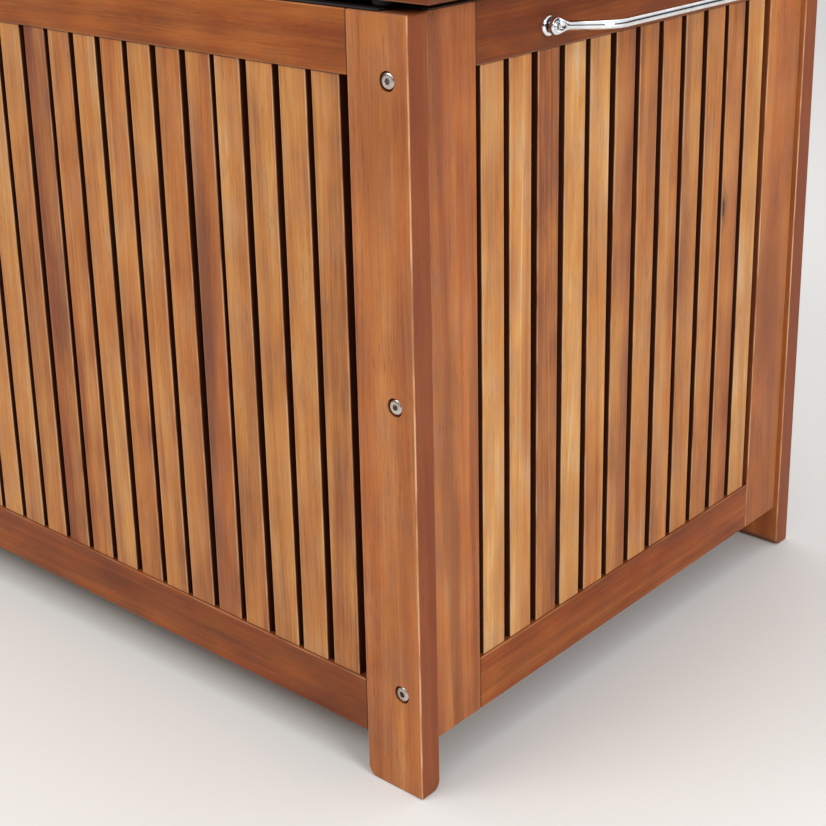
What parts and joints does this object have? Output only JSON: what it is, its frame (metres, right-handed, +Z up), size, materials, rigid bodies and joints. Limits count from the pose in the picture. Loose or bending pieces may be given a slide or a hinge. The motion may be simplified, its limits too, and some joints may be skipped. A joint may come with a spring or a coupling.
{
  "type": "deck storage box",
  "caption": "Slatted hardwood chest on plank posts, with a hinged slatted lid held by gas struts, chrome carrying handles on its ends and a black fabric liner.",
  "frame": {"origin": "on the floor under the middle of the box", "axes": "+X along the length towards the right-hand end, -Y out of the front, +Z up"},
  "size_m": [1.2016, 0.504, 0.577],
  "materials": {
    "post_wood": "oiled hardwood, satin, visible straight grain",
    "rail_wood": "oiled hardwood, satin, redder and darker boards",
    "slat_wood": "oiled hardwood, satin, tone changes from slat to slat",
    "inner_wood": "sawn hardwood, unoiled, matt",
    "chrome": "polished chrome plate",
    "steel": "zinc plated steel, satin",
    "black_enamel": "gloss black enamel",
    "rubber": "matt black rubber",
    "liner_fabric": "black coated woven fabric, dull"
  },
  "bodies": {
    "box": {"back_bottom_rail": "rail_wood", "back_slats": "slat_wood", "back_top_rail": "rail_wood", "floor_boards": "inner_wood", "floor_front_cleat": "inner_wood", "floor_rear_cleat": "inner_wood", "front_bottom_rail": "rail_wood", "front_left_lower_bolt": "steel", "front_left_middle_bolt": "steel", "front_left_post": "post_wood", "front_left_upper_bolt": "steel", "front_right_lower_bolt": "steel", "front_right_middle_bolt": "steel", "front_right_post": "post_wood", "front_right_upper_bolt": "steel", "front_slats": "slat_wood", "front_top_rail": "rail_wood", "left_end_bottom_rail": "rail_wood", "left_end_front_stile": "post_wood", "left_end_rear_stile": "post_wood", "left_end_slats": "slat_wood", "left_end_top_rail": "rail_wood", "left_handle": "chrome", "left_hinge_body_leaf": "steel", "left_hinge_pin": "steel", "left_strut_lower_bracket": "steel", "liner": "liner_fabric", "rear_left_lower_bolt": "steel", "rear_left_middle_bolt": "steel", "rear_left_post": "post_wood", "rear_left_upper_bolt": "steel", "rear_right_lower_bolt": "steel", "rear_right_middle_bolt": "steel", "rear_right_post": "post_wood", "rear_right_upper_bolt": "steel", "right_end_bottom_rail": "rail_wood", "right_end_front_stile": "post_wood", "right_end_rear_stile": "post_wood", "right_end_slats": "slat_wood", "right_end_top_rail": "rail_wood", "right_handle": "chrome", "right_hinge_body_leaf": "steel", "right_hinge_pin": "steel", "right_strut_lower_bracket": "steel"},
    "lid": {"left_hinge_lid_leaf": "steel", "left_strut_upper_bracket": "steel", "lid_front_rail": "rail_wood", "lid_left_bumper": "rubber", "lid_left_rail": "rail_wood", "lid_rear_rail": "rail_wood", "lid_right_bumper": "rubber", "lid_right_rail": "rail_wood", "lid_slats": "slat_wood", "right_hinge_lid_leaf": "steel", "right_strut_upper_bracket": "steel"},
    "left_cylinder": {"left_strut_cylinder": "black_enamel"},
    "left_rod": {"left_strut_rod": "chrome"},
    "right_cylinder": {"right_strut_cylinder": "black_enamel"},
    "right_rod": {"right_strut_rod": "chrome"}
  },
  "joints": [
    {"name": "lid_hinge", "type": "hinge", "parent": "box", "child": "lid", "pos_m": [0, 0.249, 0.5435], "axis": [-1, 0, 0], "range_deg": [0, 85]},
    {"name": "left_strut_pivot", "type": "hinge", "parent": "box", "child": "left_cylinder", "pos_m": [-0.527, 0.205, 0.385], "axis": [-1, 0, 0], "range_deg": [0, 16.02]},
    {"name": "left_strut_slide", "type": "slide", "parent": "left_cylinder", "child": "left_rod", "axis": [0, -0.182, 0.9833], "range_m": [0, 0.0857]},
    {"name": "right_strut_pivot", "type": "hinge", "parent": "box", "child": "right_cylinder", "pos_m": [0.527, 0.205, 0.385], "axis": [-1, 0, 0], "range_deg": [0, 16.02]},
    {"name": "right_strut_slide", "type": "slide", "parent": "right_cylinder", "child": "right_rod", "axis": [0, -0.182, 0.9833], "range_m": [0, 0.0857]}
  ],
  "couplings": [
    {"joint": "left_strut_pivot", "follows": "lid_hinge", "ratio": 0.18257},
    {"joint": "left_strut_slide", "follows": "lid_hinge", "m_per_rad": 0.057065},
    {"joint": "right_strut_pivot", "follows": "lid_hinge", "ratio": 0.18257},
    {"joint": "right_strut_slide", "follows": "lid_hinge", "m_per_rad": 0.057065}
  ]
}
